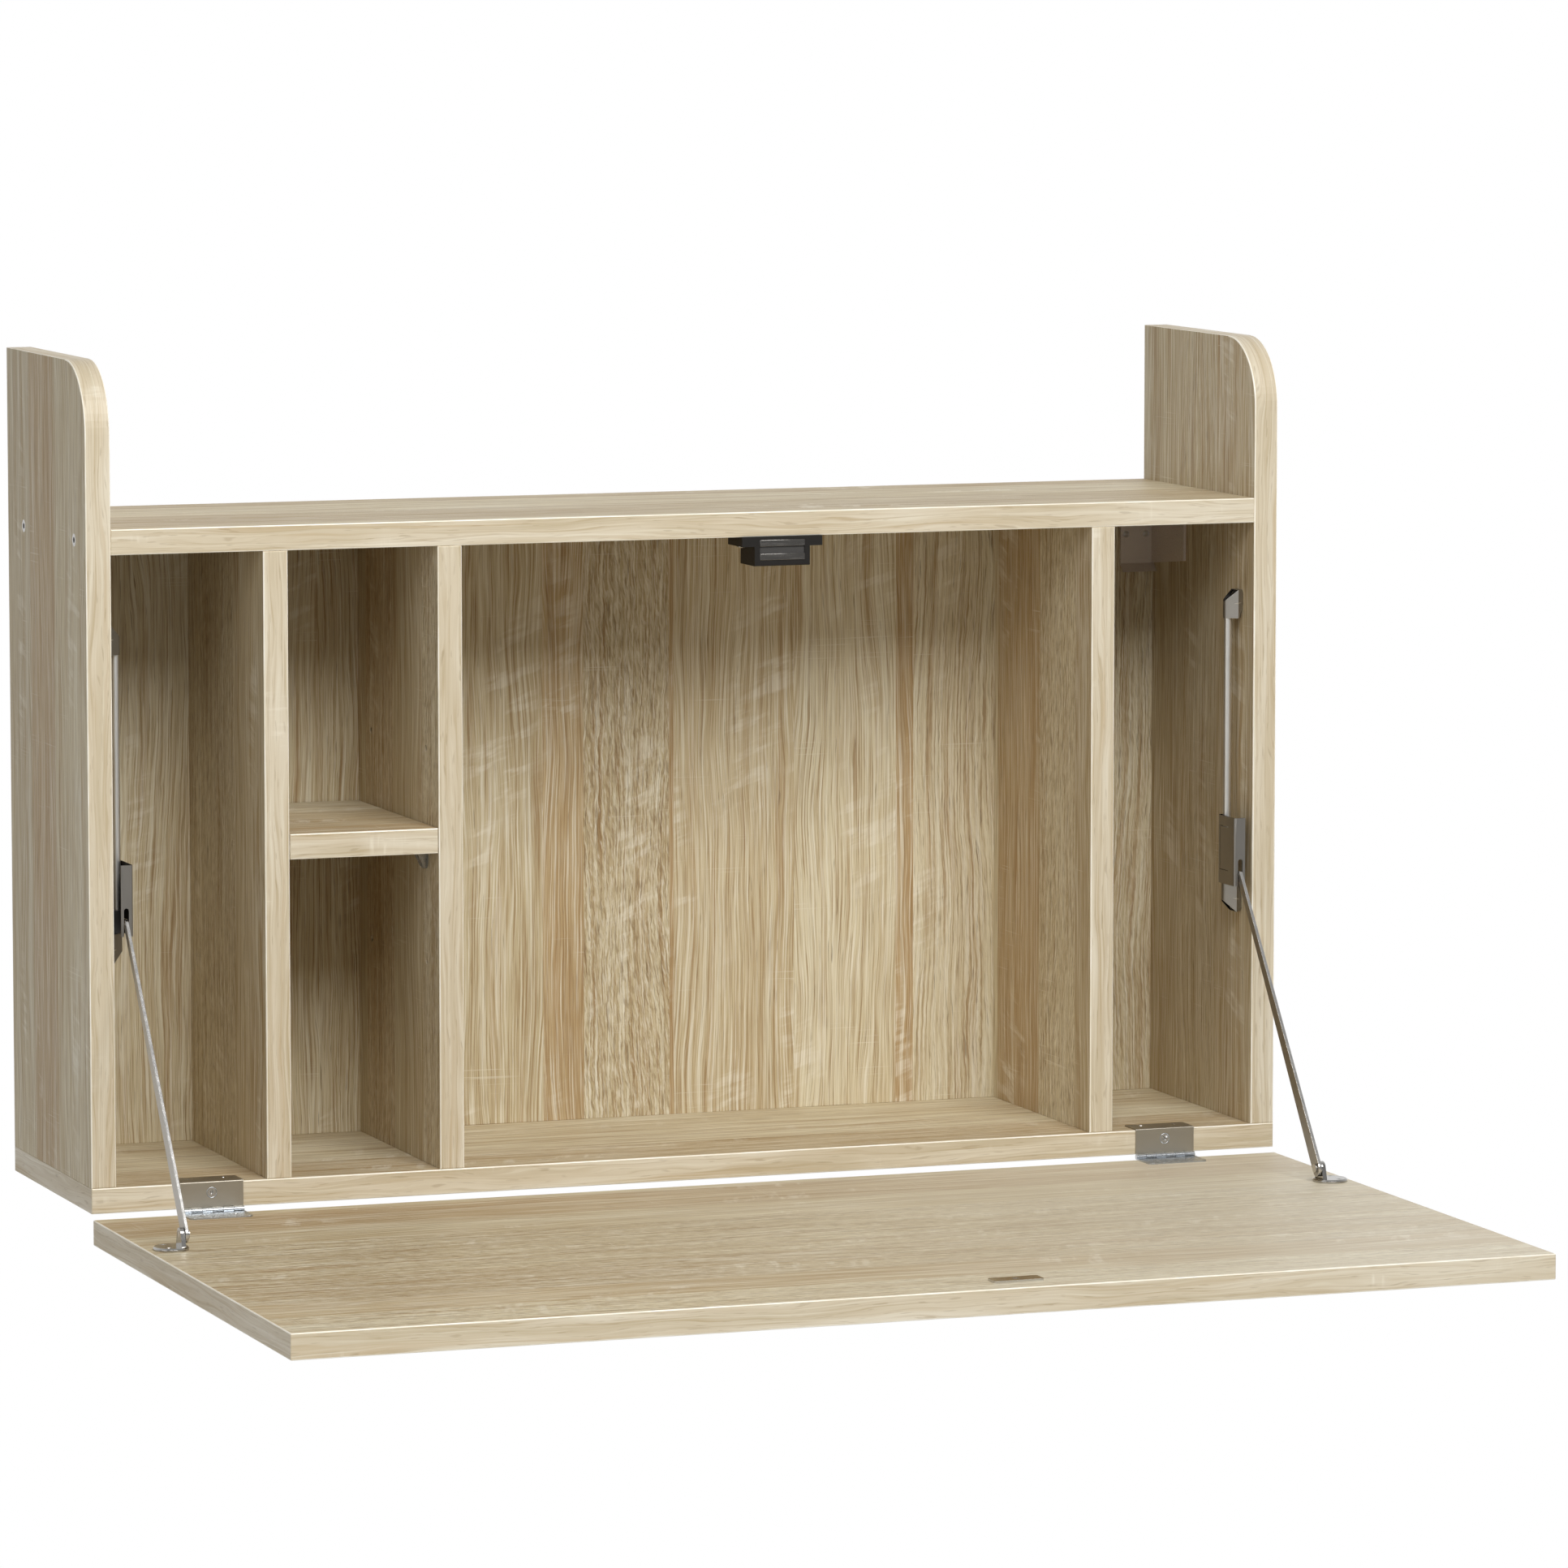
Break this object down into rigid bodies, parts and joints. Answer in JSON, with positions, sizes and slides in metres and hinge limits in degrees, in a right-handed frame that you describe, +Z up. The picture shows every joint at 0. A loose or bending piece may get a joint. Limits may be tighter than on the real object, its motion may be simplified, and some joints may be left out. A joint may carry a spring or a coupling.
{
  "type": "wall desk",
  "caption": "Wall cabinet in oak-look board with open cells and a fold-down writing leaf that closes it flush, held open by sliding stays.",
  "frame": {"origin": "on the wall plane, at the middle of the cabinet's underside", "axes": "+Y into the wall, +Z up, +X to the right as seen from the room; the leaf opens towards -Y"},
  "size_m": [0.9, 0.6932, 0.6175],
  "materials": {
    "oak_laminate": "satin",
    "clear_plastic": "gloss",
    "bare_wood": "matte",
    "screw_steel": "satin",
    "hinge_plate": "satin",
    "bright_nickel": "gloss",
    "stay_steel": "satin",
    "glide_plastic": "matte",
    "catch_plastic": "matte",
    "magnet": "matte",
    "bracket_paint": "satin"
  },
  "bodies": {
    "cabinet": {"side_left": "oak_laminate", "side_right": "oak_laminate", "top_shelf": "oak_laminate", "bottom_board": "oak_laminate", "back_board": "oak_laminate", "divider_left": "oak_laminate", "divider_middle": "oak_laminate", "divider_right": "oak_laminate", "small_shelf": "oak_laminate", "shelf_pegs": "clear_plastic", "shelf_screws": "screw_steel", "bottom_screws": "screw_steel", "shelf_dowels": "bare_wood", "back_dowels": "bare_wood", "hinge_cabinet_leaf_left": "hinge_plate", "hinge_cabinet_leaf_right": "hinge_plate", "hinge_pin_left": "bright_nickel", "hinge_pin_right": "bright_nickel", "hinge_cabinet_screws": "screw_steel", "stay_rod_left": "stay_steel", "stay_rod_right": "stay_steel", "stay_upper_mount_left": "stay_steel", "stay_upper_mount_right": "stay_steel", "stay_lower_mount_left": "stay_steel", "stay_lower_mount_right": "stay_steel", "stay_mount_screws": "screw_steel", "catch_case": "catch_plastic", "catch_pole_plates": "bright_nickel", "catch_magnet": "magnet", "catch_screws": "screw_steel", "wall_bracket_left": "bracket_paint", "wall_bracket_right": "bracket_paint", "wall_bracket_screws": "screw_steel"},
    "desk": {"desk_board": "oak_laminate", "hinge_desk_leaf_left": "hinge_plate", "hinge_desk_leaf_right": "hinge_plate", "hinge_desk_screws": "screw_steel", "stay_foot_left": "bright_nickel", "stay_foot_right": "bright_nickel", "stay_foot_pin_left": "bright_nickel", "stay_foot_pin_right": "bright_nickel", "stay_foot_screws": "screw_steel", "strike_plate": "bright_nickel", "strike_screw": "screw_steel"},
    "arm_left": {"stay_arm_left": "bright_nickel", "stay_arm_rivet_left": "bright_nickel"},
    "slider_left": {"stay_housing_left": "stay_steel", "stay_glide_left": "glide_plastic"},
    "arm_right": {"stay_arm_right": "bright_nickel", "stay_arm_rivet_right": "bright_nickel"},
    "slider_right": {"stay_housing_right": "stay_steel", "stay_glide_right": "glide_plastic"}
  },
  "joints": [
    {"name": "desk_fold", "type": "hinge", "parent": "cabinet", "child": "desk", "pos_m": [0, -0.212, -0.0015], "axis": [-1, 0, 0], "range_deg": [0, 90]},
    {"name": "arm_left_turn", "type": "hinge", "parent": "desk", "child": "arm_left", "pos_m": [-0.4228, -0.352, 0.0065], "axis": [-1, 0, 0], "range_deg": [-127.2, 0]},
    {"name": "slider_left_run", "type": "slide", "parent": "cabinet", "child": "slider_left", "axis": [0, 0, 1], "range_m": [0, 0.1788]},
    {"name": "arm_right_turn", "type": "hinge", "parent": "desk", "child": "arm_right", "pos_m": [0.4228, -0.352, 0.0065], "axis": [-1, 0, 0], "range_deg": [-127.2, 0]},
    {"name": "slider_right_run", "type": "slide", "parent": "cabinet", "child": "slider_right", "axis": [0, 0, 1], "range_m": [0, 0.1788]}
  ],
  "couplings": [
    {"joint": "arm_left_turn", "follows": "desk_fold", "ratio": -1.413},
    {"joint": "slider_left_run", "follows": "desk_fold", "m_per_rad": 0.11379},
    {"joint": "arm_right_turn", "follows": "desk_fold", "ratio": -1.413},
    {"joint": "slider_right_run", "follows": "desk_fold", "m_per_rad": 0.11379}
  ]
}
